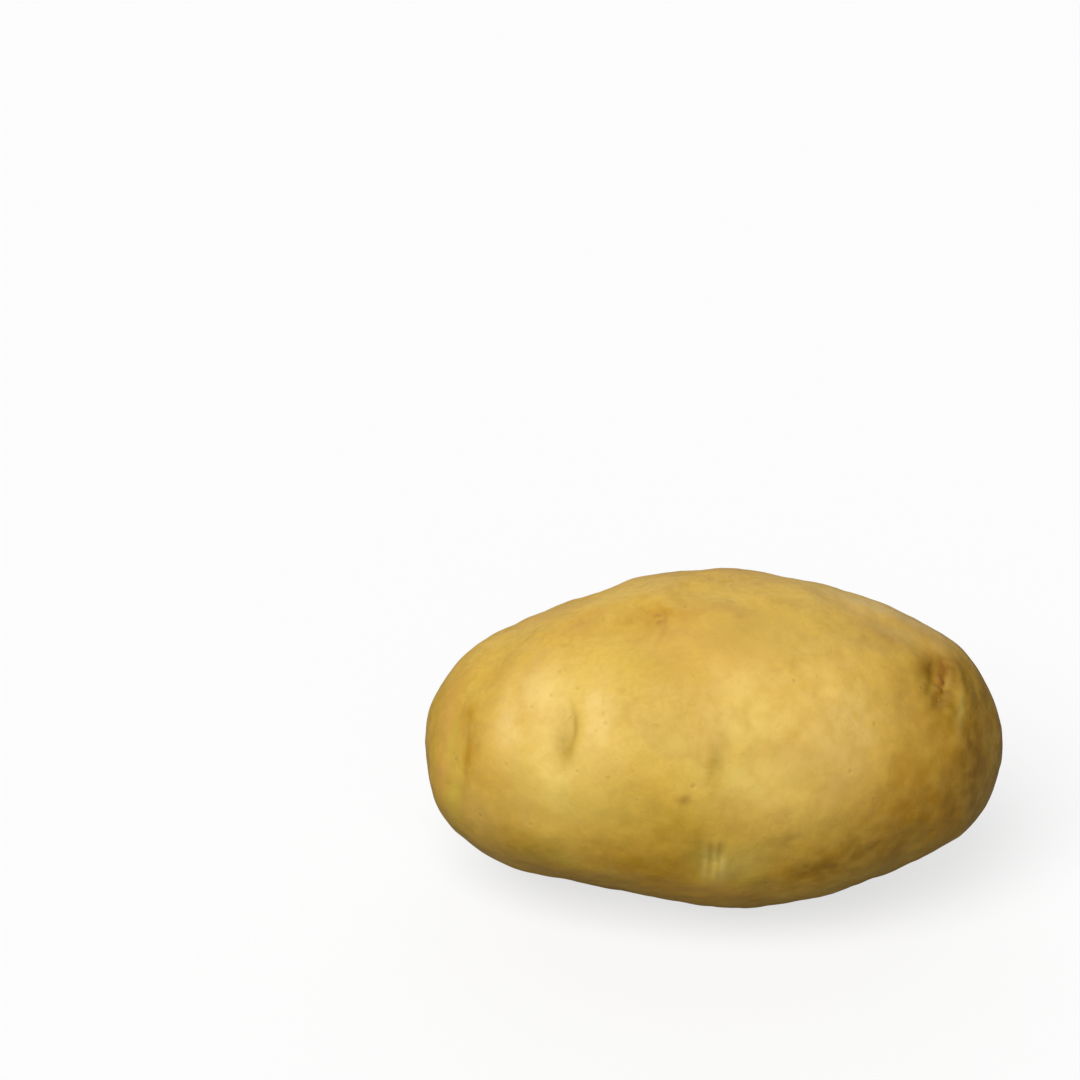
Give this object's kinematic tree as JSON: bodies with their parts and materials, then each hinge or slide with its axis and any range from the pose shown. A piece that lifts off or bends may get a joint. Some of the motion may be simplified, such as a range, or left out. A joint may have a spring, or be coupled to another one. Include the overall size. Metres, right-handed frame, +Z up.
{
  "type": "potato",
  "caption": "Raw washed potato, a long oval tuber with thin golden skin, shallow eyes under curved brows and a stolon scar. It lies on a small flat spot on its belly.",
  "frame": {"origin": "on the surface that the tuber lies on, under the middle of its box", "axes": "+X to the stem end, where the stolon scar is; -X to the rose end; -Y to the front, the side that the picture shows; +Z up"},
  "size_m": [0.105, 0.068, 0.058],
  "materials": {
    "skin": "satin"
  },
  "bodies": {
    "root": {"potato": "skin"}
  },
  "joints": []
}
